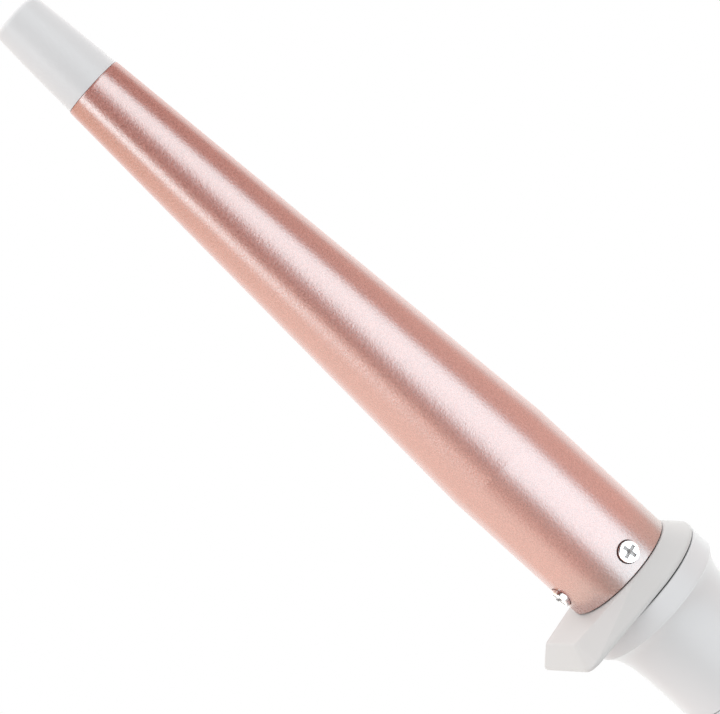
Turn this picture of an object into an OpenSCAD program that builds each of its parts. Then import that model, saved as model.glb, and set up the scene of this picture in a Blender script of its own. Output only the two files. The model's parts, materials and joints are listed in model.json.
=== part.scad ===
// Conical curling wand: coated heating barrel, cool tip, collar with a rest foot,
// necked handle in two shells, three push buttons, electronics and a cord swivel.
// Millimetres. The barrel axis is X: cool tip at -X, cord inlet at +X, rest foot at -Z,
// controls at +Z. The origin is the mouth of the cord bore.

/* [Barrel] */
// diameter of the barrel at its base
barrel_d = 25; // [19:0.5:38]
// diameter of the barrel at the cool tip
barrel_tip_d = 13.4; // [9:0.2:19]
// length of the barrel
barrel_len = 140.9; // [100:0.1:180]
// length of the tapered part, from the tip end
cone_len = 107.4; // [70:0.1:150]
// wall of the barrel tube
barrel_wall = 1.1; // [0.8:0.1:2]
// distance of the two side screws from the barrel's base edge
screw_inset = 3.95; // [3:0.05:8]
// distance of the lower screw, above the foot, from the barrel's base edge
low_screw_inset = 5.4; // [3:0.05:8]
// diameter of the holes round the barrel screws
screw_hole_d = 4.8; // [4.8:0.1:6]
// diameter of the barrel screw heads
screw_head_d = 4.46; // [3.6:0.02:4.6]
// how far the barrel screw heads stand out of the barrel
screw_proud = 0.85; // [0.3:0.05:1.5]
// width of the cross recess in the barrel screws
recess_w = 0.8; // [0.5:0.05:1]

/* [Cool tip] */
// length of the cool tip
cap_len = 20.2; // [12:0.1:30]
// diameter of the cool tip at the joint
cap_d = 13; // [8:0.1:18]
// diameter of the cool tip at its end, before the rounding
cap_end_d = 10.9; // [6:0.1:16]
// rounding of the cool tip's end
cap_round = 1.3; // [0.5:0.1:3]

/* [Collar and rest foot] */
// thickness of the collar along the barrel
collar_t = 4.75; // [3:0.05:8]
// diameter of the collar's rim
collar_d = 31.8; // [28:0.1:40]
// width of the collar's rim behind its front slope
collar_land = 0.75; // [0.4:0.05:2]
// reach of the foot's end below the axis, at the back
foot_reach = 23.1; // [18:0.1:32]
// reach of the foot's end below the axis, at the front
foot_front_reach = 20; // [16:0.1:30]
// half width of the foot at the back
foot_half = 13.75; // [8:0.05:16]
// half width of the foot at the front
foot_front_half = 8.5; // [6:0.1:14]
// rounding of the foot's front corners
foot_front_round = 1.2; // [0.5:0.1:3]
// rounding of the foot's back corners
foot_round = 3.2; // [1:0.1:5]

/* [Neck] */
// diameter of the shoulder ring behind the collar
shoulder_d = 31.7; // [27:0.1:40]
// length of the shoulder ring
shoulder_len = 4.7; // [3:0.1:10]
// smallest diameter of the neck
neck_d = 25.54; // [20:0.02:32]
// length of the neck shell
neck_len = 26.6; // [18:0.1:40]
// how quickly the neck narrows behind the shoulder
neck_decay = 3.1; // [1:0.1:6]

/* [Handle] */
// length of the two handle shells
shell_len = 129; // [100:1:160]
// diameter of the handle at its two ends
handle_end_d = 25.9; // [22:0.1:30]
// extra radius at the middle of the handle
handle_bulge = 1.95; // [0:0.1:4]
// wall of the handle shells
shell_wall = 1.7; // [1.2:0.1:3]
// width of the parting line between the shells
parting = 0.1; // [0.05:0.05:0.3]

/* [Controls] */
// width of the control bezel
bezel_w = 11; // [9:0.5:14]
// length of the control bezel
bezel_len = 46; // [40:1:60]
// distance of the bezel's middle from the neck seam
bezel_at = 49; // [40:1:70]
// diameter of the power button
power_d = 8; // [6:0.5:9]
// diameter of the plus and minus buttons
step_d = 7; // [5:0.5:8]
// travel of the buttons
travel = 0.6; // [0.3:0.1:1]
// how far the buttons stand out of the bezel
proud = 0.75; // [0.3:0.05:1.5]
// width of the engraved lines on the buttons
mark_w = 0.5; // [0.3:0.05:0.7]
// depth of the engraved lines
mark_depth = 0.35; // [0.2:0.05:0.5]

/* [Cord inlet] */
// diameter of the cord bore
cord_bore_d = 6.4; // [5:0.1:8]
// length of the cord bore
cord_bore_len = 16; // [10:0.5:20]
// how far the swivel stands out of the handle, up to the bore's mouth
gland_out = 10; // [6:0.5:20]
// diameter of the swivel journal in the handle's end
journal_d = 13.8; // [11:0.1:16]

/* [Hidden] */
$fn = 96;
// widths of the joints between the main pieces
gap_base = 0.25; gap_neck = 0.3; gap_seam = 0.2;
// running clearance on the radius
run = 0.06;
// stations along X
xe = -gland_out;                 // rear face of the handle shells
xs = xe - shell_len;             // front face of the shells, the neck seam
xn1 = xs - gap_seam;             // rear of the neck
xn0 = xn1 - neck_len;            // front of the neck
xc1 = xn0 - gap_neck;            // rear of the collar
xc0 = xc1 - collar_t;            // front of the collar
xb1 = xc0 - gap_base;            // base of the barrel
xb0 = xb1 - barrel_len;          // front of the barrel
// barrel screws: turn about the axis from straight up, and station
bscrews = [[90, xb1 - screw_inset], [180, xb1 - low_screw_inset], [270, xb1 - screw_inset]];
xh0 = xb1 - 12.9;                // front of the barrel holder
xh1 = xn0 + 13.9;                // rear of the barrel holder
rb = barrel_d / 2; rt = barrel_tip_d / 2;
ri = rb - barrel_wall;           // inside radius at the base
rtail = 9.6;                     // radius of the holder's tail
plug_r = 4;                      // radius of the cool tip's plug in the barrel's end
spigot_r = 11;                   // radius of the neck's spigot in the handle
holder_screw_y = 7.9;            // distance of the holder screws from the axis
pipe_y = 2.4;                    // distance of the light pipes from the middle plane
rhole = 6.2;                     // wire hole in the holder
rc = collar_d / 2; rs = shoulder_d / 2; rn = neck_d / 2;
// radius of the barrel at a distance from its front
function br(u) = u >= cone_len ? rb : rt + (rb - rt) * u / cone_len;
// radius of the cool tip at a fraction of its length
function cr(t) = cap_d / 2 - (cap_d - cap_end_d) / 2 * pow(t, 1.3);
// radius of the neck at a distance behind the shoulder ring
neck_tail = neck_len - shoulder_len;
function nr(u) = rn + (rs - rn - 0.05) * exp(-u / neck_decay)
    + 0.18 * pow(max(0, (u - neck_tail * 0.66) / (neck_tail * 0.34)), 2);
// radius of the handle at a distance from the seam
function hr(s) = handle_end_d / 2 + handle_bulge * sin(180 * s / shell_len);
// control positions from the seam
sp = bezel_at - 16; splus = bezel_at - 3; sminus = bezel_at + 7; sled = bezel_at + 16;
// circuit board
bz = 4; bt = 1.2; bx0 = xs + 19; bx1 = xs + 99; bhalf = 9.4;
bs = [bx0 + 3.5, bx1 - 3.5];
ztop = bz + bt;
act_top = ztop + 3.6;            // top of a switch actuator
// shell screws
ss = [xs + 10, xs + 105.5];
// cord swivel stations
xf1 = xe - 5.8;                  // rear of the swivel flange
xf0 = xf1 - 3.9;                 // front of the swivel flange
xst = xf0 - 8.4;                 // front of the swivel stem
rj = journal_d / 2;
stem_r = 5.2; ring_r = 6; flange_r = 8.6; pocket_r = 9.05;
// heater stack
hx0 = xb0 + 30; hx1 = xb0 + 112;
spx0 = xb0 + 10; spx1 = xb0 + 118;

// ---- helpers ----

// solid of revolution about X; points are [radius, x]
module rev(pts) rotate([0, 90, 0]) rotate_extrude() polygon(pts);

// cylinder along X
module xcyl(x0, x1, r) translate([x0, 0, 0]) rotate([0, 90, 0]) cylinder(h = x1 - x0, r = r);

// 2D shape in Y and Z, extruded along X
module xext(x0, x1) translate([x0, 0, 0]) rotate([90, 0, 90]) linear_extrude(x1 - x0) children();

// box between two corners
module bx(a, b) translate(a) cube(b - a);

// straight rod between two points
module rod(p, q, r) {
    d = q - p;
    l = norm(d);
    translate(p) rotate([0, acos(d[2] / l), atan2(d[1], d[0])]) cylinder(h = l, r = r, $fn = 24);
}

// wire through a list of points
module wire(pts, r) {
    for (i = [0 : len(pts) - 2]) rod(pts[i], pts[i + 1], r);
    for (i = [1 : len(pts) - 2]) translate(pts[i]) sphere(r = r * 1.2, $fn = 24);
}

// pan-head screw with a cross recess: seat at z = 0, shank downwards
module screw(hd, hh, sr, l, w = 0.6) {
    r = hd / 2;
    difference() {
        union() {
            rotate_extrude() polygon([[0, 0], [r - 0.1, 0], [r, 0.1], [r, 0.84 * hh],
                [0.985 * r, 0.895 * hh], [0.95 * r, 0.935 * hh], [0.88 * r, 0.963 * hh],
                [0.7 * r, 0.985 * hh], [0.4 * r, 0.996 * hh], [0, hh]]);
            translate([0, 0, -l]) cylinder(h = l + 0.05, r = sr);
            translate([0, 0, -l - sr * 0.8]) cylinder(h = sr * 0.8, r1 = sr * 0.25, r2 = sr);
        }
        for (a = [6, 96]) rotate([0, 0, a])
            bx([-0.7 * r, -w / 2, hh * 0.72], [0.7 * r, w / 2, hh + 1]);
        translate([0, 0, hh * 0.3]) cylinder(h = hh, r1 = w * 0.3, r2 = w);
    }
}

// plain screw shank hole
module pilot(r, l) translate([0, 0, -l]) cylinder(h = l + 1, r = r);

// stadium plan about the control bezel, grown by g
module bezel_plan(g, z0, z1)
    translate([xs + bezel_at, 0, z0]) linear_extrude(z1 - z0) union() {
        square([bezel_len - bezel_w, bezel_w + 2 * g], center = true);
        for (s = [-1, 1]) translate([s * (bezel_len - bezel_w) / 2, 0]) circle(r = bezel_w / 2 + g);
    }

// ring that follows the handle's outside, from i to o below it, between two stations
module handle_band(s0, s1, o, i, n = 12) {
    ds = (s1 - s0) / n;
    rev(concat([for (k = [0 : n]) [hr(s0 + k * ds) - o, xs + s0 + k * ds]],
        [for (k = [n : -1 : 0]) [hr(s0 + k * ds) - i, xs + s0 + k * ds]]));
}

// ---- cool tip and barrel ----

module cool_tip() color([0.86, 0.86, 0.87]) {
    x0 = xb0 - cap_len;
    x1 = xb0 - 0.05;
    l = x1 - x0 - cap_round;
    difference() {
        rev(concat([[0, x0]],
            [for (a = [0 : 15 : 90]) [cap_end_d / 2 - cap_round * (1 - sin(a)),
                x0 + cap_round * (1 - cos(a))]],
            [for (k = [15 : -1 : 0]) [cr(k / 16), x1 - k / 16 * l]],
            [[plug_r, x1], [plug_r, xb0 + 4.2], [plug_r - 0.3, xb0 + 4.6], [0, xb0 + 4.6]]));
        rev([[0, x0 + 2.6], [3.4, x0 + 2.6], [4.3, x0 + 4], [4.6, x1 - 2.2], [2.7, x1 - 1.2],
            [2.7, xb0 + 5], [0, xb0 + 5]]);
    }
}

module tip_washer() color([0.75, 0.7, 0.6])
    rev([[plug_r + run, xb0 + 1.55], [5.1, xb0 + 1.55], [5.1, xb0 + 2.3], [plug_r + run, xb0 + 2.3]]);

module tip_retainer() color([0.8, 0.8, 0.82]) difference() {
    rev([[plug_r + 0.02, xb0 + 2.35], [5.0, xb0 + 2.35], [5.0, xb0 + 2.65], [4.4, xb0 + 2.7],
        [plug_r + 0.02, xb0 + 3.1]]);
    for (a = [0 : 60 : 300]) rotate([a, 0, 0])
        bx([xb0 + 2, -0.25, 3.8], [xb0 + 3.3, 0.25, 4.5]);
}

module barrel() color([0.85, 0.65, 0.6]) difference() {
    rev([[plug_r + run, xb0], [rt - 0.25, xb0], [rt - 0.07, xb0 + 0.08], [rt, xb0 + 0.3],
        [rb, xb0 + cone_len], [rb, xb1 - 0.12], [rb - 0.12, xb1], [ri, xb1],
        [ri, xb0 + cone_len], [br(1.5) - barrel_wall, xb0 + 1.5], [plug_r + run, xb0 + 1.5]]);
    for (b = bscrews) rotate([b[0], 0, 0]) translate([b[1], 0, ri - 2])
        cylinder(h = 6, r = screw_hole_d / 2);
}

// ---- heater ----

// half of the heat spreader, seen as the upper one, with its flat at z = f
module spreader(f) difference() {
    rev([[0, spx0], [br(10) - barrel_wall - run, spx0], [ri - run, xb0 + cone_len],
        [ri - run, spx1], [0, spx1]]);
    bx([spx0 - 1, -20, -20], [spx1 + 1, 20, f]);
    bx([spx0 - 1, -0.8, f - 1], [spx1 + 1, 0.8, f + 1.2]);
}

module spreader_upper() color([0.75, 0.76, 0.78]) difference() {
    spreader(1.95);
    translate([0, 0, 6]) xcyl(spx1 - 10, spx1 + 1, 1.3);
}

module spreader_lower() color([0.72, 0.73, 0.75]) mirror([0, 0, 1]) spreader(2.75);

module ptc_elements() color([0.35, 0.35, 0.36])
    for (k = [0 : 2]) bx([hx0 + 2 + k * 26, -4.4, -1.2], [hx0 + 26 + k * 26, 4.4, 1.2]);

module electrode_upper() color([0.8, 0.65, 0.35]) union() {
    bx([hx0 + 1, -4.2, 1.22], [hx1 - 1, 4.2, 1.6]);
    bx([hx1 - 1.5, 1.2, 1.22], [spx1 + 2.2, 4.2, 1.6]);
}

module electrode_lower() color([0.8, 0.65, 0.35]) union() {
    bx([hx0 + 1, -4.2, -1.6], [hx1 - 1, 4.2, -1.22]);
    bx([hx1 - 1.5, -4.2, -1.6], [spx1 + 2.2, -1.2, -1.22]);
}

module insulating_film() color([0.8, 0.55, 0.2, 0.8]) difference() {
    bx([hx0, -4.95, -1.85], [hx1 + 4, 4.95, 1.85]);
    bx([hx0 - 1, -4.75, -1.68], [hx1 + 5, 4.75, 1.68]);
}

module pressure_spring() color([0.7, 0.7, 0.72]) {
    n = 9;
    p = (hx1 - hx0 - 6) / n;
    translate([hx0 + 3, 3.5, 0]) rotate([90, 0, 0]) linear_extrude(7) polygon(concat(
        [for (k = [0 : n]) [k * p, (k % 2 == 0 ? -2.36 : -1.9)]],
        [for (k = [n : -1 : 0]) [k * p, (k % 2 == 0 ? -2.72 : -2.26)]]));
}

module thermistor() color([0.25, 0.5, 0.35]) union() {
    translate([0, 0, 6]) xcyl(spx1 - 8, spx1 - 3, 1.2);
    for (s = [-1, 1]) translate([0, s * 0.6, 6]) xcyl(spx1 - 3.5, spx1 + 1, 0.3);
}

module thermal_fuse() color([0.85, 0.85, 0.8]) union() {
    translate([0, 0, -5]) xcyl(spx1 + 0.3, spx1 + 9, 1.7);
}

module mica_disc() color([0.8, 0.75, 0.6]) difference() {
    xcyl(xh0 - 0.9, xh0 - 0.1, ri - run);
    xcyl(xh0 - 2, xh0 + 1, 5.9);
}

// ---- barrel base ----

module barrel_holder() color([0.2, 0.17, 0.15]) difference() {
    rev([[rhole, xh0], [ri - run, xh0], [ri - run, xb1], [rtail, xb1], [rtail, xh1], [rhole, xh1]]);
    for (b = bscrews) rotate([b[0], 0, 0]) translate([b[1], 0, 7.2]) cylinder(h = 6, r = 1.27);
    for (s = [-1, 1]) translate([0, s * holder_screw_y, 0]) xcyl(xh1 - 9, xh1 + 1, 1.22);
}

module barrel_screws() color([0.9, 0.9, 0.9])
    for (b = bscrews) rotate([b[0], 0, 0]) translate([b[1], 0, ri])
        screw(screw_head_d, barrel_wall + screw_proud, 1.25, 3, recess_w);

module barrel_gasket() color([0.08, 0.08, 0.08])
    rev([[rtail + run, xb1 + 0.02], [rb - 0.45, xb1 + 0.02], [rb - 0.45, xc0 - 0.02],
        [rtail + run, xc0 - 0.02]]);

// outline of the collar with its foot
module foot_plan(r, w, d, c) hull() {
    circle(r = r);
    for (s = [-1, 1]) translate([s * (w - c), c - d]) circle(r = c, $fn = 48);
}

module collar() color([0.84, 0.83, 0.83]) difference() {
    hull() {
        xext(xc0, xc0 + 0.05) foot_plan(rb + 0.2, foot_front_half, foot_front_reach, foot_front_round);
        xext(xc1 - collar_land, xc1 - 0.15) foot_plan(rc, foot_half, foot_reach, foot_round);
        xext(xc1 - 0.05, xc1) foot_plan(rc - 0.15, foot_half - 0.15, foot_reach - 0.15,
            foot_round - 0.15);
    }
    xcyl(xc0 - 1, xc1 + 1, rtail + run);
}

module collar_seal() color([0.1, 0.1, 0.1])
    rev([[rtail + run, xc1 + 0.02], [rs - 0.5, xc1 + 0.02], [rs - 0.5, xn0 - 0.02],
        [rtail + run, xn0 - 0.02]]);

// ---- neck and handle ----

module neck_shell() color([0.88, 0.88, 0.89]) {
    x2 = xn0 + shoulder_len;
    n = 28;
    difference() {
        rev(concat([[rtail + run, xn0], [rs - 0.2, xn0], [rs, xn0 + 0.2], [rs, x2 - 0.5],
                [rs - 0.06, x2 - 0.25]],
            [for (k = [0 : n]) let (u = pow(k / n, 1.5) * (neck_tail - 0.12)) [nr(u), x2 + u]],
            [[nr(neck_tail) - 0.12, xn1], [spigot_r, xn1], [spigot_r, xs + 3.8],
                [spigot_r - 0.2, xs + 4], [9.8, xs + 4],
                [9.8, xh1 + 2.6], [rhole + 0.2, xh1 + 2.6], [rhole + 0.2, xh1 + 0.05],
                [rtail + run, xh1 + 0.05]]));
        for (s = [-1, 1]) translate([0, s * holder_screw_y, 0]) xcyl(xh1 - 1, xh1 + 4, 1.4);
    }
}

module holder_screws() color([0.8, 0.8, 0.82])
    for (s = [-1, 1]) translate([xh1 + 2.62, s * holder_screw_y, 0]) rotate([0, 90, 0])
        screw(3.3, 1.2, 1.2, 8.5, 0.5);

// both handle shells as one hollow form
module shells() {
    n = 32;
    m = 24;
    l = shell_len;
    s0 = 4.4;
    s1 = l - 11.3;
    difference() {
        rev(concat([[spigot_r + run, xs], [hr(0) - 0.12, xs]],
            [for (k = [0 : n]) let (s = 0.12 + k * (l - 2.12) / n) [hr(s), xs + s]],
            [for (a = [15 : 15 : 90]) [hr(l - 2) - 1.8 * (1 - cos(a)), xs + l - 2 + 2 * sin(a)]],
            [[rj + 0.5, xe], [rj + 0.5, xe - 3.5], [pocket_r, xe - 3.5], [pocket_r, xf0 - 0.1],
                [ring_r + 0.3, xf0 - 0.1], [ring_r + 0.3, xs + s1]],
            [for (k = [m : -1 : 0]) let (s = s0 + k * (s1 - s0) / m) [hr(s) - shell_wall, xs + s]],
            [[spigot_r + run, xs + s0]]));
        bezel_plan(0.08, 5, 20);
    }
}

module handle_upper() color([0.88, 0.88, 0.89]) difference() {
    union() {
        intersection() {
            shells();
            bx([xs - 1, -20, parting / 2], [xe + 1, 20, 20]);
        }
        for (x = ss) translate([x, 0, parting / 2]) cylinder(h = hr(x - xs) - 0.8, r = 3);
    }
    for (x = ss) translate([x, 0, -1]) cylinder(h = 9, r = 1.22);
}

module handle_lower() color([0.87, 0.87, 0.88]) difference() {
    union() {
        intersection() {
            shells();
            bx([xs - 1, -20, -20], [xe + 1, 20, -parting / 2]);
        }
        for (x = ss) translate([x, 0, 0.8 - hr(x - xs)])
            cylinder(h = hr(x - xs) - 0.8 - parting / 2, r = 3.6);
        for (x = bs) translate([x, 0, 0.8 - hr(x - xs)])
            cylinder(h = hr(x - xs) - 0.8 + bz - 0.02, r = 2.6);
        bx([xst - 2.6, -3, -11.9], [xst - 1.5, 3, -9]);
    }
    for (x = ss) translate([x, 0, 0]) {
        translate([0, 0, -20]) cylinder(h = 15, r = 2.55);
        translate([0, 0, -6]) cylinder(h = 7, r = 1.35);
    }
    for (x = bs) translate([x, 0, bz - 8]) cylinder(h = 9, r = 1.02);
}

module shell_screws() color([0.75, 0.75, 0.78])
    for (x = ss) translate([x, 0, -5.02]) rotate([180, 0, 0]) screw(4.8, 1.7, 1.2, 11, 0.6);

// ---- controls ----

module control_bezel() color([0.75, 0.75, 0.77]) difference() {
    union() {
        intersection() {
            handle_band(bezel_at - bezel_len / 2 - 4, bezel_at + bezel_len / 2 + 4, 0.02, 1.9);
            bezel_plan(0, 6, 20);
        }
        intersection() {
            handle_band(bezel_at - bezel_len / 2 - 4, bezel_at + bezel_len / 2 + 4,
                shell_wall + 0.05, 2.6);
            bezel_plan(1.1, 6, 20);
        }
    }
    for (c = [[sp, power_d], [splus, step_d], [sminus, step_d]])
        translate([xs + c[0], 0, 5]) cylinder(h = 15, r = c[1] / 2 + run);
    for (y = [-pipe_y, pipe_y]) translate([xs + sled, y, 5]) cylinder(h = 15, r = 1.0);
}

module led_window() color([0.9, 0.95, 0.95, 0.6]) {
    z0 = hr(sled) - 4.4;
    union() {
        for (y = [-pipe_y, pipe_y]) translate([xs + sled, y, z0 + 0.5])
            cylinder(h = sqrt(pow(hr(sled), 2) - pow(pipe_y, 2)) - z0 - 0.55, r = 0.97);
        bx([xs + sled - 1.6, -3.6, z0], [xs + sled + 1.6, 3.6, z0 + 0.9]);
    }
}

// push button at station s, with a retaining flange below the bezel and a stem
module button(s, d) {
    fr = d / 2 + 0.6;
    ft = sqrt(pow(hr(s) - 2.6, 2) - fr * fr) - 0.12;
    top = hr(s) + proud;
    translate([xs + s, 0, 0]) rotate_extrude() polygon([[0, act_top + 0.05 + travel],
        [1.2, act_top + 0.05 + travel], [1.2, ft - 0.8], [fr, ft - 0.8], [fr, ft], [d / 2, ft],
        [d / 2, top - 0.45], [d / 2 - 0.12, top - 0.18], [d / 2 - 0.4, top], [0, top - 0.12]]);
}

module power_button() color([0.83, 0.66, 0.62]) difference() {
    button(sp, power_d);
    translate([xs + sp, 0, hr(sp) + proud - mark_depth]) {
        difference() {
            cylinder(h = 1, r = 1.6 + mark_w / 2);
            translate([0, 0, -0.1]) cylinder(h = 2, r = 1.6 - mark_w / 2);
            bx([-3, -1.2 * mark_w, -1], [0, 1.2 * mark_w, 2]);
        }
        bx([-2.3, -mark_w / 2, 0], [-0.5, mark_w / 2, 1]);
    }
}

module plus_button() color([0.83, 0.66, 0.62]) difference() {
    button(splus, step_d);
    for (a = [0, 90]) translate([xs + splus, 0, hr(splus) + proud]) rotate([0, 0, a])
        bx([-1.5, -mark_w / 2, -mark_depth], [1.5, mark_w / 2, 1]);
}

module minus_button() color([0.83, 0.66, 0.62]) difference() {
    button(sminus, step_d);
    translate([xs + sminus, 0, hr(sminus) + proud])
        bx([-mark_w / 2, -1.5, -mark_depth], [mark_w / 2, 1.5, 1]);
}

// ---- electronics ----

module circuit_board() color([0.1, 0.35, 0.2]) difference() {
    bx([bx0, -bhalf, bz], [bx1, bhalf, ztop]);
    for (x = bs) translate([x, 0, bz - 1]) cylinder(h = 4, r = 1.3);
}

module tact_switches() color([0.15, 0.15, 0.16])
    for (s = [sp, splus, sminus]) translate([xs + s, 0, 0]) union() {
        bx([-3, -3, ztop + 0.01], [3, 3, ztop + 3.1]);
        translate([0, 0, ztop + 3]) cylinder(h = act_top - ztop - 3, r = 1.7);
    }

module indicator_leds() color([0.9, 0.9, 0.7])
    for (y = [-pipe_y, pipe_y])
        bx([xs + sled - 0.8, y - 0.6, ztop + 0.01], [xs + sled + 0.8, y + 0.6, ztop + 0.9]);

module triac() color([0.12, 0.12, 0.13]) difference() {
    bx([xs + 69, -5, ztop + 0.01], [xs + 78, 5, ztop + 4]);
    translate([xs + 73.5, 0, ztop - 1]) cylinder(h = 8, r = 1.6);
}

module film_capacitor() color([0.75, 0.6, 0.2])
    bx([xs + 80, -5.5, ztop + 0.01], [xs + 86, 5.5, ztop + 6]);

module wire_connector() color([0.9, 0.9, 0.88]) difference() {
    bx([xs + 87.5, -5, ztop + 0.01], [xs + 92.5, 5, ztop + 5]);
    for (y = [-2.5, 2.5]) translate([xs + 90, y, ztop + 2]) cylinder(h = 5, r = 1.3);
}

module board_screws() color([0.75, 0.75, 0.78])
    for (x = bs) translate([x, 0, ztop + 0.01]) screw(3.6, 1.3, 1, 5.5, 0.5);

module heater_leads() color([0.85, 0.15, 0.12])
    for (s = [-1, 1]) wire([[spx1 + 2.4, s * 2.7, s * 1.41], [spx1 + 7, s * 4.6, s * 0.3],
        [xh0 + 2, s * 4.9, 0], [bx0 + 8, s * 4.9, 0], [bx0 + 8, s * 4.9, bz - 0.03]], 0.8);

module sensor_leads() color([0.95, 0.95, 0.9])
    for (s = [-1, 1]) wire([[spx1 + 1.1, s * 0.6, 6], [spx1 + 6, s * 4.2, 3.3],
        [xh0 + 2, s * 4.5, 3.1], [bx0 + 5, s * 4.5, 3.1], [bx0 + 5, s * 4.5, bz - 0.02]], 0.4);

module supply_leads() color([0.2, 0.4, 0.75])
    for (s = [-1, 1]) wire([[bx1 - 8, s * 5.5, bz - 0.03], [bx1 - 8, s * 5.5, 0.5],
        [xst - 2.9, s * 6.2, 0], [xst - 0.7, s * 3.2, -7.9]], 0.8);

// ---- cord swivel ----

module swivel_bush() color([0.92, 0.92, 0.9])
    rev([[rj + run, xf1 + 0.05], [pocket_r - 0.03, xf1 + 0.05], [pocket_r - 0.03, xe - 3.55],
        [rj + run, xe - 3.55]]);

module cord_swivel() color([0.85, 0.85, 0.86]) {
    r = cord_bore_d / 2;
    rev([[r, 0], [r + 0.5, 0.6], [4.6, 0.6], [5.2, 0.3], [5.6, -0.4], [6.2, xe + 1.4],
        [6.6, xe + 0.9], [rj, xe + 0.4], [rj, xf1], [flange_r, xf1], [flange_r, xf0],
        [stem_r, xf0], [stem_r, xst], [1.9, xst], [1.9, -cord_bore_len - 1.3], [r, -cord_bore_len]]);
}

module contact_rings() color([0.8, 0.55, 0.35])
    for (k = [0, 1]) rev([[stem_r + 0.02, xst + 1 + k * 3.6], [ring_r, xst + 1 + k * 3.6],
        [ring_r, xst + 3.2 + k * 3.6], [stem_r + 0.02, xst + 3.2 + k * 3.6]]);

module brush_holder() color([0.2, 0.17, 0.15])
    difference() {
        bx([xst - 1.4, -4, -10.4], [xf0 - 1.8, 4, -8.6]);
        for (k = [0, 1]) bx([xst + 1.1 + k * 3.6, -1.6, -11], [xst + 3.1 + k * 3.6, 1.6, -8]);
    }

module brush_contacts() color([0.8, 0.65, 0.35])
    for (k = [0, 1]) union() {
        bx([xst + 1.15 + k * 3.6, -1.5, -10.3], [xst + 3.05 + k * 3.6, -1.1, -6.3]);
        bx([xst + 1.15 + k * 3.6, -1.5, -6.45], [xst + 3.05 + k * 3.6, 1.5, -6.05]);
    }

// ---- nodes ----

cool_tip();
tip_washer();
tip_retainer();
barrel();
spreader_upper();
spreader_lower();
ptc_elements();
electrode_upper();
electrode_lower();
insulating_film();
pressure_spring();
thermistor();
thermal_fuse();
mica_disc();
barrel_holder();
barrel_screws();
barrel_gasket();
collar();
collar_seal();
neck_shell();
holder_screws();
handle_upper();
handle_lower();
shell_screws();
control_bezel();
led_window();
power_button();
plus_button();
minus_button();
circuit_board();
tact_switches();
indicator_leds();
triac();
film_capacitor();
wire_connector();
board_screws();
heater_leads();
sensor_leads();
supply_leads();
swivel_bush();
cord_swivel();
contact_rings();
brush_holder();
brush_contacts();
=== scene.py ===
"""Looks for the conical curling wand: materials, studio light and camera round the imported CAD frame."""
import json
import math

import bpy
from mathutils import Matrix, Vector

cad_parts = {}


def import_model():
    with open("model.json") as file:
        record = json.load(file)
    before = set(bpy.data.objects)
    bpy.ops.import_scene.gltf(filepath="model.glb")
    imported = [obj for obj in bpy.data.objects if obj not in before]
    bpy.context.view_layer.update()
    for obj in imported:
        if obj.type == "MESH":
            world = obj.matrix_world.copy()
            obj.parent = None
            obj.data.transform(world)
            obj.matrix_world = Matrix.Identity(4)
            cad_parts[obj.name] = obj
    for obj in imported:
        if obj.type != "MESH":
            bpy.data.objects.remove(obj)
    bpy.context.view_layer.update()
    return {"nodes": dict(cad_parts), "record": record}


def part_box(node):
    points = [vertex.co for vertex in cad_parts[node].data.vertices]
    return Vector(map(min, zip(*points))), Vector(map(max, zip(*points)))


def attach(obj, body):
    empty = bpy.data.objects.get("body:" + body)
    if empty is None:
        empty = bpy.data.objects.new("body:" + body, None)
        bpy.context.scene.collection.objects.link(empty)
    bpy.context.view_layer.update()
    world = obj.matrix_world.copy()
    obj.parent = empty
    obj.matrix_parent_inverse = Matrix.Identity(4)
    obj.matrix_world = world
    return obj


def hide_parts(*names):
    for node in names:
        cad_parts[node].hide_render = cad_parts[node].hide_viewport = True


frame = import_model()
nodes = frame["nodes"]

MM = 0.001
BASE_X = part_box("barrel")[1].x
BASE_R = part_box("barrel")[1].y


# ---- node helpers ----

class Tree:
    """Short ways to add and link the nodes of a material or of the world.

    An input is given by its name, with _ for a space, or by its place as i0, i1 and so on.
    p_name sets a property of the node.
    """

    def __init__(self, tree):
        self.t = tree

    def add(self, kind, **inputs):
        n = self.t.nodes.new(kind)
        for key, value in inputs.items():
            self.put(n, key, value)
        return n

    def put(self, n, key, value):
        if key.startswith("p_"):
            setattr(n, key[2:], value)
        elif key[0] == "i" and key[1:].isdigit():
            self.feed(n.inputs[int(key[1:])], value)
        else:
            self.feed(n.inputs[key.replace("_", " ")], value)

    def feed(self, socket, value):
        """Links another node's output to a socket, or sets the socket to a plain value."""
        if isinstance(value, bpy.types.NodeSocket):
            self.t.links.new(value, socket)
        else:
            socket.default_value = value

    def math(self, op, a, b=0.0, c=0.0):
        return self.add("ShaderNodeMath", p_operation=op, i0=a, i1=b, i2=c).outputs[0]

    def length(self, a, b):
        return self.math("SQRT", self.math("ADD", self.math("MULTIPLY", a, a), self.math("MULTIPLY", b, b)))

    def fade(self, value, start, end, top=1.0):
        """Straight ramp from 0 at start to top at end, level beyond them."""
        return self.add("ShaderNodeMapRange", i0=value, i1=start, i2=end, i4=top).outputs[0]

    def smooth(self, value, start, end):
        """Ramp from 0 at start to 1 at end, with soft ends."""
        n = self.add("ShaderNodeMapRange", p_interpolation_type="SMOOTHSTEP", i0=value, i1=start, i2=end)
        return n.outputs[0]

    def split(self, vector):
        return self.add("ShaderNodeSeparateXYZ", i0=vector).outputs


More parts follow.
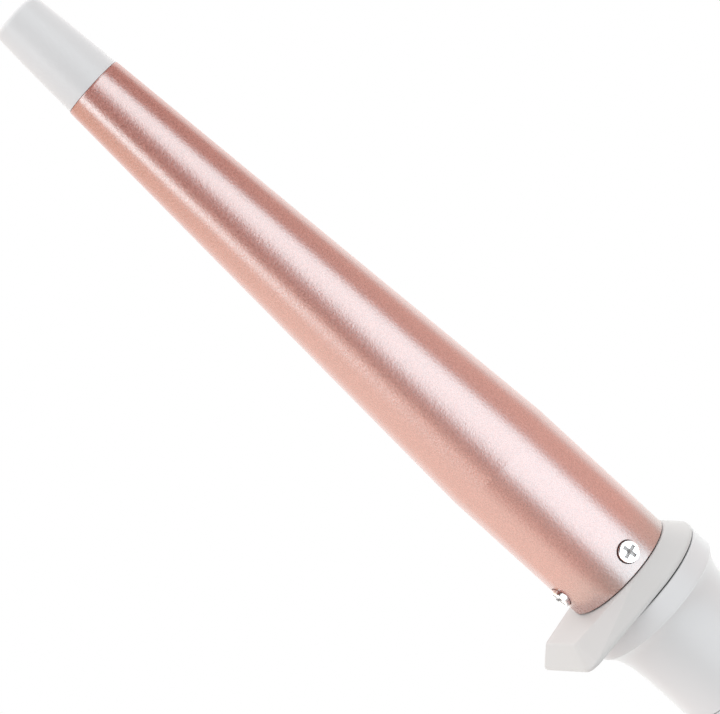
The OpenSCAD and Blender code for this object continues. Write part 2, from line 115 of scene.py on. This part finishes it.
class Mat(Tree):
    """A material's nodes, placed by the object's own coordinates, in metres."""

    def __init__(self, name):
        self.m = bpy.data.materials.new(name)
        self.m.use_nodes = True
        super().__init__(self.m.node_tree)
        self.bsdf = self.t.nodes["Principled BSDF"]
        self.coord = self.add("ShaderNodeTexCoord").outputs["Object"]

    def set(self, **inputs):
        for key, value in inputs.items():
            self.put(self.bsdf, key, value)

    def noise(self, scale, detail=2.0, rough=0.5):
        n = self.add("ShaderNodeTexNoise", Vector=self.coord, Scale=scale, Detail=detail, Roughness=rough)
        return n.outputs["Fac"]

    def ramp(self, fac, low, high):
        """Colour that goes from one (place, colour) stop to another."""
        n = self.add("ShaderNodeValToRGB", Fac=fac)
        for element, (place, colour) in zip(n.color_ramp.elements, (low, high)):
            element.position = place
            element.color = (*colour, 1.0)
        return n.outputs["Color"]

    def cloudy(self, cloud, colour, dark):
        """The colour, down to its share dark where the cloud noise is low."""
        return self.ramp(cloud, (0.3, tuple(c * dark for c in colour)), (0.7, colour))

    def mix(self, fac, a, b):
        n = self.add("ShaderNodeMix", p_data_type="RGBA", i0=fac)
        for place, colour in ((6, a), (7, b)):
            self.feed(n.inputs[place], (*colour, 1.0) if isinstance(colour, tuple) else colour)
        return n.outputs[2]

    def bump(self, height, strength, distance, normal=None):
        n = self.add("ShaderNodeBump", Height=height, Strength=strength, Distance=distance)
        if normal is not None:
            self.feed(n.inputs["Normal"], normal)
        return n.outputs["Normal"]


def plastic(name, colour, rough=0.42, grain=0.03, grain_mm=0.35):
    """Moulded satin plastic: fine spark-eroded grain, slight cloudiness in colour and gloss."""
    m = Mat(name)
    cloud = m.noise(45.0, 3.0)
    m.set(Base_Color=m.cloudy(cloud, colour, 0.975),
          Roughness=m.math("MULTIPLY_ADD", cloud, 0.08, rough - 0.04),
          Normal=m.bump(m.noise(1 / (grain_mm * MM)), grain, 0.1 * MM))
    return m.m


def button_plastic(node):
    """Rose satin plastic, with the engraved mark on top filled in pale paint."""
    rose, paint = (0.62, 0.36, 0.31), (0.84, 0.82, 0.80)
    mark_r, mark_top, mark_floor = 2.6 * MM, 0.24 * MM, 0.30 * MM
    low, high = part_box(node)
    m = Mat(node + "_satin")
    x, y, z = m.split(m.coord)
    away = m.length(m.math("SUBTRACT", x, (low.x + high.x) / 2), y)
    deep = m.fade(z, high.z - mark_top, high.z - mark_floor)
    painted = m.math("MULTIPLY", deep, m.math("LESS_THAN", away, mark_r))
    cloud = m.noise(90.0, 3.0)
    m.set(Base_Color=m.mix(painted, m.cloudy(cloud, rose, 0.96), paint),
          Roughness=m.math("MULTIPLY_ADD", cloud, 0.08, 0.28),
          Normal=m.bump(m.noise(3500.0), 0.08, 0.1 * MM))
    return m.m


def metal(name, colour, rough=0.25, grain=0.05):
    """Stamped, cast or plated metal: fine grain, slight cloudiness in colour and gloss."""
    m = Mat(name)
    cloud = m.noise(400.0, 3.0)
    m.set(Base_Color=m.cloudy(cloud, colour, 0.95),
          Metallic=1.0,
          Roughness=m.math("MULTIPLY_ADD", cloud, 0.2, rough - 0.1),
          Normal=m.bump(m.noise(9000.0), grain, 0.05 * MM))
    return m.m


def coating():
    """Rose-gold ceramic coat: saturated ground under a pale pearly gloss, broken up by flake and peel,
    and painted shade in the last centimetre before the collar, which turns the coat browner there."""
    # painted shade beside the collar: its brown colour, how strongly it is mixed in, and over what length
    collar_shade_colour, collar_shade_share, collar_shade_length = (0.37, 0.235, 0.20), 0.55, 10 * MM
    m = Mat("rose_coat_speckle")
    peel = m.noise(1500.0, 2.0, 0.6)
    grain = m.noise(3000.0, 3.0, 0.65)
    flake = m.add("ShaderNodeTexVoronoi", Vector=m.coord, Scale=2600.0).outputs["Color"]
    gloss_shift, tilt, _ = m.add("ShaderNodeSeparateColor", Color=flake).outputs
    speckle = m.ramp(grain, (0.4, (0.47, 0.142, 0.107)), (0.6, (0.78, 0.284, 0.224)))
    mottle = m.ramp(m.noise(600.0), (0.3, (0.595, 0.193, 0.151)), (0.7, (0.655, 0.231, 0.179)))
    # painted shade: over the last centimetre before the collar the coat turns darker and browner, where the
    # collar shades it
    collar_shade = m.fade(m.split(m.coord)[0], BASE_X - collar_shade_length, BASE_X, collar_shade_share)
    relief = m.bump(tilt, 0.08, 0.05 * MM)
    relief = m.bump(grain, 0.15, 0.06 * MM, relief)
    relief = m.bump(peel, 0.26, 0.12 * MM, relief)
    m.set(Base_Color=m.mix(collar_shade, m.mix(0.4, speckle, mottle), collar_shade_colour),
          Roughness=m.math("MULTIPLY_ADD", gloss_shift, 0.04, 0.26),
          IOR=3.4,
          Specular_Tint=(0.80, 0.97, 1.0, 1.0),
          Normal=relief)
    return m.m


def screw_steel():
    """Bright nickel-plated screw heads; the driver recess, below the crown, has duller plating painted a
    darker grey as shade.
    """
    head_r, crown, crown_edge = 2.23 * MM, BASE_R + 0.62 * MM, 0.08 * MM
    low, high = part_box("barrel_screws")
    x_under, x_side = low.x + head_r, high.x - head_r
    m = Mat("screw_nickel")
    x, y, z = m.split(m.coord)
    y = m.math("ABSOLUTE", y)
    z = m.math("ABSOLUTE", z)
    height = m.math("MAXIMUM", y, z)
    aside = m.math("MINIMUM", y, z)
    middle = m.math("MULTIPLY_ADD", m.math("GREATER_THAN", z, y), x_under - x_side, x_side)
    away = m.length(m.math("SUBTRACT", x, middle), aside)
    raised = m.fade(height, crown, crown + crown_edge)
    outside_recess = m.math("MAXIMUM", raised, m.math("GREATER_THAN", away, 0.8 * head_r))
    cloud = m.noise(700.0, 3.0)
    bright = m.ramp(cloud, (0.3, (0.90, 0.90, 0.91)), (0.7, (0.97, 0.97, 0.98)))
    # painted shade: the driver recess gets a darker grey, with duller and less metallic plating
    recess_shade = m.ramp(m.noise(2500.0), (0.3, (0.60, 0.59, 0.59)), (0.7, (0.72, 0.71, 0.71)))
    rough = m.math("MULTIPLY_ADD", cloud, 0.18, 0.47)
    m.set(Base_Color=m.mix(outside_recess, recess_shade, bright),
          Metallic=m.math("MULTIPLY_ADD", outside_recess, 0.8, 0.2),
          Roughness=m.math("MULTIPLY_ADD", outside_recess, -0.35, rough),
          Normal=m.bump(m.noise(6000.0), 0.05, 0.04 * MM))
    return m.m


# ---- materials ----

MATS = {
    "white_plastic": plastic("white_plastic_satin", (0.80, 0.80, 0.81), 0.40),
    "collar_plastic": plastic("collar_plastic_satin", (0.67, 0.663, 0.658), 0.45),
    "rose_coat": coating(),
    "chrome_steel": screw_steel(),
    "plated_steel": metal("plated_steel", (0.62, 0.62, 0.64), 0.3),
    "aluminium": metal("cast_aluminium", (0.75, 0.76, 0.78), 0.35),
    "brass": metal("stamped_brass", (0.78, 0.58, 0.28), 0.25),
    "copper": metal("ring_copper", (0.80, 0.45, 0.28), 0.22),
    "spring_steel": metal("spring_steel", (0.60, 0.60, 0.62), 0.25),
    "ptc_ceramic": plastic("ptc_ceramic", (0.05, 0.05, 0.05), 0.7, 0.1),
    "polyimide": plastic("amber_film", (0.55, 0.25, 0.04), 0.2),
    "glass_bead": plastic("glass_bead", (0.05, 0.22, 0.10), 0.1),
    "fuse_can": plastic("fuse_can", (0.75, 0.74, 0.68), 0.5),
    "mica": plastic("mica_sheet", (0.55, 0.48, 0.34), 0.5, 0.2, 0.8),
    "bakelite": plastic("bakelite", (0.02, 0.015, 0.012), 0.35),
    "seal_rubber": plastic("seal_rubber", (0.012, 0.012, 0.012), 0.7),
    "bezel_satin": metal("bezel_satin", (0.54, 0.53, 0.53), 0.36, 0.04),
    "clear_plastic": plastic("light_pipe", (0.75, 0.78, 0.80), 0.15),
    "board_green": plastic("board_green", (0.01, 0.10, 0.04), 0.3),
    "black_plastic": plastic("black_plastic", (0.015, 0.015, 0.016), 0.45),
    "led_epoxy": plastic("led_epoxy", (0.80, 0.80, 0.55), 0.2),
    "capacitor_yellow": plastic("capacitor_yellow", (0.60, 0.35, 0.03), 0.3),
    "connector_nylon": plastic("connector_nylon", (0.72, 0.72, 0.68), 0.45),
    "wire_red": plastic("wire_red", (0.45, 0.02, 0.015), 0.4),
    "wire_white": plastic("wire_white", (0.75, 0.75, 0.72), 0.4),
    "wire_blue": plastic("wire_blue", (0.03, 0.10, 0.40), 0.4),
    "swivel_plastic": plastic("swivel_plastic_satin", (0.74, 0.74, 0.75), 0.42),
}
# the buttons' slot has no finish above, because each mark needs a material of its own
for sub in frame["record"]["subparts"]:
    finish = MATS.get(sub["material_slot"]) or button_plastic(sub["node"])
    for slot in nodes[sub["node"]].material_slots:
        slot.material = finish


# ---- collar ----

# front outline: radius of the ring, then how far down the foot reaches, its half width and corner radius
FRONT_R, FRONT_REACH, FRONT_HALF, FRONT_ROUND = 12.7 * MM, 20.0 * MM, 8.5 * MM, 1.2 * MM
# rim outline: half width and corner radius of the foot; the node's box gives the other two
BACK_HALF, BACK_ROUND = 13.75 * MM, 3.2 * MM
COLLAR_HOLE = 9.66 * MM
# straight stretch along X behind the rim
RIM_LAND = 0.75 * MM
EDGE_SOFT = 0.38 * MM
# even directions round the outline, and the angle that sets off the pairs at the straight sides
AROUND = 288
PAIR_TURN = 0.0008


def lerp(a, b, t):
    return a + (b - a) * t


def bend(p0, p1, p2, steps=6):
    """Points and directions along a rounded corner, in (x, blend, inset)."""
    out = []
    for k in range(steps + 1):
        t = k / steps
        at = [lerp(lerp(a, b, t), lerp(b, c, t), t) for a, b, c in zip(p0, p1, p2)]
        way = [2 * lerp(b - a, c - b, t) for a, b, c in zip(p0, p1, p2)]
        out.append((at, way))
    return out


def circles(ring_r, half, reach, corner_r):
    """What an outline is stretched round, as (y, z, radius): the ring, then the foot's two corners."""
    y, z = half - corner_r, corner_r - reach
    return [(0.0, 0.0, ring_r), (y, z, corner_r), (-y, z, corner_r)]


def support(shape, u):
    """The outline's furthest point in direction u."""
    y, z, r = max(shape, key=lambda c: c[0] * u[0] + c[1] * u[1] + c[2])
    return y + r * u[0], z + r * u[1]


def outline_turns(shapes):
    """Directions round the outlines, with a pair on either side of each straight side's own direction."""
    turns = [2 * math.pi * k / AROUND for k in range(AROUND)]
    for shape in shapes:
        for (y0, z0, r0), (y1, z1, r1) in zip(shape, shape[1:] + shape[:1]):
            across = math.atan2(z1 - z0, y1 - y0)
            off = math.acos((r0 - r1) / math.hypot(y1 - y0, z1 - z0))
            turns += [(across + side * off + s * PAIR_TURN) % (2 * math.pi)
                      for side in (-1, 1) for s in (-1, 1)]
    turns = sorted(turns)
    return [a for k, a in enumerate(turns) if k == 0 or a - turns[k - 1] > PAIR_TURN / 2]


def collar_rows(x0, x1):
    """Rows of the loft, front face to back: each its (x, blend, inset) and its direction."""
    rim_x = x1 - RIM_LAND
    share = EDGE_SOFT / (rim_x - x0)
    rows = [((x0, 0.0, 2.5 * EDGE_SOFT), (0, 0, -1))]
    rows += bend((x0, 0, EDGE_SOFT), (x0, 0, 0), (x0 + EDGE_SOFT, share, 0))
    rows += bend((rim_x - EDGE_SOFT, 1 - share, 0), (rim_x, 1, 0), (rim_x + 0.6 * EDGE_SOFT, 1, 0))
    rows += bend((x1 - EDGE_SOFT, 1, 0), (x1, 1, 0), (x1, 1, EDGE_SOFT))
    rows += [((x1, 1.0, 2.5 * EDGE_SOFT), (0, 0, 1))]
    return rows


def collar():
    """Ring with a rest foot, lofted from a small front outline to a larger rim, every edge rounded."""
    low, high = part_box("collar")
    front = circles(FRONT_R, FRONT_HALF, FRONT_REACH, FRONT_ROUND)
    back = circles(high.z, BACK_HALF, -low.z, BACK_ROUND)
    turns = outline_turns((front, back))
    rows = collar_rows(low.x, high.x)
    n = len(turns)
    verts, normals = [], []
    for (x, t, inset), (dx, dt, dinset) in rows:
        for a in turns:
            u = (math.cos(a), math.sin(a))
            pa, pb = support(front, u), support(back, u)
            y, z = (lerp(p, q, t) - inset * v for p, q, v in zip(pa, pb, u))
            dh = dt * sum((q - p) * v for p, q, v in zip(pa, pb, u)) - dinset
            verts.append((x, y, z))
            normals.append(Vector((-dh, dx * u[0], dx * u[1])).normalized())
    # two more rows on the hole's wall, back then front
    last = len(rows) - 1
    for x, row, facing in ((high.x, last, 1.0), (low.x, 0, -1.0)):
        for k in range(n):
            y, z = verts[row * n + k][1:]
            r = math.hypot(y, z)
            verts.append((x, y / r * COLLAR_HOLE, z / r * COLLAR_HOLE))
            normals.append(Vector((facing, 0, 0)))
    faces, corner = [], []
    loops = last + 3
    for row in range(loops):
        after = (row + 1) % loops
        in_hole = row == last + 1
        for k in range(n):
            beside = (k + 1) % n
            face = (row * n + k, row * n + beside, after * n + beside, after * n + k)
            faces.append(face)
            for v in face:
                inward = Vector((0, -verts[v][1], -verts[v][2])).normalized()
                corner.append(inward if in_hole else normals[v])
    me = bpy.data.meshes.new("collar_ring")
    me.from_pydata(verts, [], faces)
    me.shade_smooth()
    me.normals_split_custom_set(corner)
    ob = bpy.data.objects.new("collar_ring", me)
    bpy.context.scene.collection.objects.link(ob)
    me.materials.append(MATS["collar_plastic"])
    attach(ob, "wand_body")
    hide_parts("collar")


collar()


# ---- camera ----

# in front of the wand and below its axis, looking up at it
CAMERA_PLACE = Vector((BASE_X - 113.73 * MM, -384.88 * MM, -112.55 * MM))
CAMERA_AIM = Vector((0.11525, 0.95600, 0.26978))
CAMERA_ROLL = math.radians(40.50)
SENSOR_MM = 36.0
LENS_MM = 102.32
NEAREST, FURTHEST = 0.01, 200.0


def camera():
    data = bpy.data.cameras.new("camera")
    data.sensor_width = SENSOR_MM
    data.lens = LENS_MM
    data.clip_start = NEAREST
    data.clip_end = FURTHEST
    cam = bpy.data.objects.new("camera", data)
    bpy.context.scene.collection.objects.link(cam)
    bpy.context.scene.camera = cam
    forward = CAMERA_AIM.normalized()
    level = forward.cross(Vector((0, 0, 1))).normalized()
    right = math.cos(CAMERA_ROLL) * level + math.sin(CAMERA_ROLL) * level.cross(forward)
    axes = Matrix((right, right.cross(forward), -forward)).transposed()
    cam.matrix_world = Matrix.Translation(CAMERA_PLACE) @ axes.to_4x4()


camera()


# ---- light ----

# Studio panels as a gloss sees them, wrapped round the wand's axis: 0 degrees is straight in front of
# it, 90 straight up, and x is the direction's share along the wand, below 0 towards the tip.
# from and to degrees, soft edge, how each of these edges leans with x, from and to x, soft edge, colour
ALL = 3.0
PANELS = {
    "front_box": (-17, 44.5, 8, (-65, 0), -ALL, ALL, 0.05, (2.12, 2.27, 2.30)),
    "front_near": (-26, 44.5, 14, (-65, 0), -0.03, ALL, 0.12, (0.35, 0.41, 0.48)),
    "low_strip": (-83, -63, 6.5, (0, 0), -ALL, -0.06, 0.04, (3.35, 3.50, 3.50)),
    "table_tip": (-152, -88, 10, (0, 0), -ALL, -0.09, 0.06, (0.75, 0.49, 0.31)),
    "table": (-154, -72, 16, (0, 0), -0.09, ALL, 0.06, (1.58, 1.20, 1.02)),
    "table_edge": (-72, -54, 8, (0, 0), -0.06, 0.16, 0.05, (1.52, 0.90, 0.71)),
    "gap": (-60, -17, 8, (0, -65), -0.03, ALL, 0.15, (0.36, 0.38, 0.33)),
    "ceiling": (50, 104, 10, (0, 0), -0.04, ALL, 0.15, (0.97, 0.63, 0.53)),
    "back_wall": (108, 208, 13, (0, 0), -0.02, ALL, 0.08, (1.62, 1.67, 1.62)),
    "back_tip": (108, 208, 13, (0, 0), -ALL, -0.02, 0.08, (1.45, 1.37, 1.32)),
}
# an edge that leans does so up to this x
LEAN_END = 0.17
# light on matt surfaces: all round, then what is added or taken off from each side
EVEN, BELOW, ABOVE, BEHIND, BEYOND, AHEAD = 0.67, 0.27, 0.34, -0.26, 0.62, -0.22


def gloss_light(t, x, y, z):
    """What glossy surfaces see: the sum of the panels."""
    turn = t.math("MULTIPLY", t.math("ARCTAN2", z, t.math("MULTIPLY", y, -1.0)), 180 / math.pi)
    x_lean = t.math("MINIMUM", x, LEAN_END)
    total = None
    for low, high, soft, lean, x_low, x_high, x_soft, colour in PANELS.values():
        middle = (low + high) / 2
        off = t.math("WRAP", t.math("SUBTRACT", turn, middle), 180.0, -180.0)
        above = t.math("SUBTRACT", off, t.math("MULTIPLY_ADD", x_lean, lean[0], low - middle))
        below = t.math("SUBTRACT", t.math("MULTIPLY_ADD", x_lean, lean[1], high - middle), off)
        around = t.math("MULTIPLY", t.smooth(above, -soft, soft), t.smooth(below, -soft, soft))
        along = t.math("MULTIPLY", t.smooth(x, x_low - x_soft, x_low + x_soft),
                       t.smooth(x, x_high + x_soft, x_high - x_soft))
        strength = t.math("MULTIPLY", around, along)
        panel = t.add("ShaderNodeBackground", Color=(*colour, 1.0), Strength=strength).outputs[0]
        total = panel if total is None else t.add("ShaderNodeAddShader", i0=total, i1=panel).outputs[0]
    return total


def matt_light(t, x, y, z):
    """Even fill for matt surfaces, shaded by the side that the light comes from."""
    fill = EVEN
    for part, share in ((t.smooth(z, -0.1, -0.8), BELOW), (t.smooth(z, 0.0, 0.7), ABOVE),
                        (t.smooth(y, 0.0, 0.8), BEHIND), (t.smooth(x, 0.0, -0.8), BEYOND),
                        (t.smooth(y, -0.2, -0.9), AHEAD)):
        fill = t.math("MULTIPLY_ADD", part, share, fill)
    grey = t.add("ShaderNodeCombineColor", i0=fill, i1=fill, i2=fill).outputs[0]
    return t.add("ShaderNodeBackground", Color=grey).outputs[0]


def world():
    """Panels for glossy rays, fill for matt ones, and plain white behind everything."""
    w = bpy.data.worlds.new("studio")
    bpy.context.scene.world = w
    w.use_nodes = True
    w.cycles.sampling_method = "NONE"
    w.node_tree.nodes.clear()
    t = Tree(w.node_tree)
    x, y, z = t.split(t.add("ShaderNodeTexCoord").outputs["Generated"])
    path = t.add("ShaderNodeLightPath").outputs
    white = t.add("ShaderNodeBackground", Color=(1.0, 1.0, 1.0, 1.0)).outputs[0]
    lit = t.add("ShaderNodeMixShader", i0=path["Is Glossy Ray"],
                i1=matt_light(t, x, y, z), i2=gloss_light(t, x, y, z)).outputs[0]
    seen = t.add("ShaderNodeMixShader", i0=path["Is Camera Ray"], i1=lit, i2=white).outputs[0]
    t.add("ShaderNodeOutputWorld", Surface=seen)


world()


# ---- floor ----

# it lies below the camera, and far away it fades into the white behind it, evenly by 1 / distance
FLOOR_Z = -0.15
FLOOR_HALF = 60.0
FADE_START, FADE_END = 0.14, 0.02


def floor():
    me = bpy.data.meshes.new("floor")
    ways = ((-1, -1), (1, -1), (1, 1), (-1, 1))
    me.from_pydata([(a * FLOOR_HALF, b * FLOOR_HALF, FLOOR_Z) for a, b in ways], [], [(0, 1, 2, 3)])
    ob = bpy.data.objects.new("floor", me)
    bpy.context.scene.collection.objects.link(ob)
    m = Mat("floor_pale")
    m.set(Base_Color=m.ramp(m.noise(3.0), (0.3, (0.705,) * 3), (0.7, (0.715,) * 3)), Roughness=0.8)
    away = m.add("ShaderNodeVectorMath", p_operation="LENGTH", i0=m.coord).outputs["Value"]
    white_share = m.smooth(m.math("DIVIDE", 1.0, away), FADE_START, FADE_END)
    white = m.add("ShaderNodeEmission", Color=(1.0, 1.0, 1.0, 1.0), Strength=1.0).outputs[0]
    both = m.add("ShaderNodeMixShader", i0=white_share, i1=m.bsdf.outputs[0], i2=white).outputs[0]
    m.feed(m.t.nodes["Material Output"].inputs["Surface"], both)
    me.materials.append(m.m)
    ob.visible_glossy = False
    ob.visible_diffuse = False


floor()

scene = bpy.context.scene
scene.view_settings.view_transform = "Standard"
scene.view_settings.look = "None"
